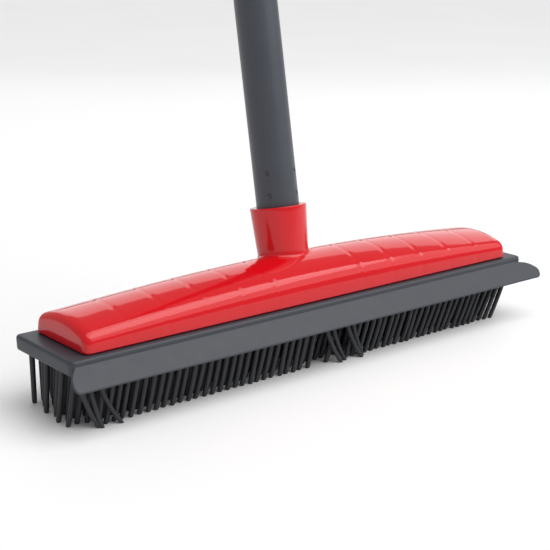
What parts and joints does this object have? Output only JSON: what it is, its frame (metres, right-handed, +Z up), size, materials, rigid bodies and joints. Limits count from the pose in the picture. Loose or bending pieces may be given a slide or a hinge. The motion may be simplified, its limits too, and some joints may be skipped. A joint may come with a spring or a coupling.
{
  "type": "carpet sweeper broom",
  "caption": "Carpet sweeper broom: red moulded head over a rubber bristle pad with a wiping lip, on a leaning telescopic pole with a ringed grip and hanging eye.",
  "frame": {"origin": "on the floor, at the tip of the pad's middle bristle", "axes": "+X along the head, -Y towards the wiping lip, +Z up; the pole leans back 10 degrees towards +Y"},
  "size_m": [0.3472, 0.1724, 0.7022],
  "materials": {
    "shell_red": "glossy injection-moulded polypropylene",
    "pad_rubber": "matte moulded thermoplastic rubber",
    "carrier_plastic": "moulded polypropylene",
    "screw_steel": "zinc-plated steel",
    "tube_paint": "grey satin powder coat on steel",
    "pole_plastic": "fine-textured moulded plastic",
    "lock_plastic": "natural nylon",
    "grip_rubber": "soft matte rubber"
  },
  "bodies": {
    "head": {"head_shell": "shell_red", "carrier_plate": "carrier_plastic", "rubber_pad": "pad_rubber", "bristle_field": "pad_rubber", "wiping_lip": "pad_rubber", "carrier_screws": "screw_steel"},
    "lower_pole": {"lower_tube": "tube_paint", "threaded_plug": "pole_plastic", "guide_collar": "pole_plastic"},
    "lock": {"lock_sleeve": "lock_plastic"},
    "upper_pole": {"upper_tube": "tube_paint", "cam_core": "lock_plastic", "grip_core": "pole_plastic", "hand_grip": "grip_rubber", "grip_end_plug": "pole_plastic"},
    "hanger": {"hang_eye": "shell_red"}
  },
  "joints": [
    {"name": "pole_unscrew", "type": "hinge", "parent": "head", "child": "lower_pole", "pos_m": [0, 0.01119, 0.06509], "axis": [0, 0.1736, 0.9848], "range_deg": [0, 1620]},
    {"name": "pole_extend", "type": "slide", "parent": "lower_pole", "child": "lock", "axis": [0, 0.1736, 0.9848], "range_m": [0, 0.36]},
    {"name": "twist_lock", "type": "hinge", "parent": "lock", "child": "upper_pole", "pos_m": [0, 0.02074, 0.11925], "axis": [0, 0.1736, 0.9848], "range_deg": [0, 110]},
    {"name": "eye_swivel", "type": "hinge", "parent": "upper_pole", "child": "hanger", "pos_m": [0, 0.11873, 0.67498], "axis": [0, 0.1736, 0.9848], "continuous": true}
  ]
}
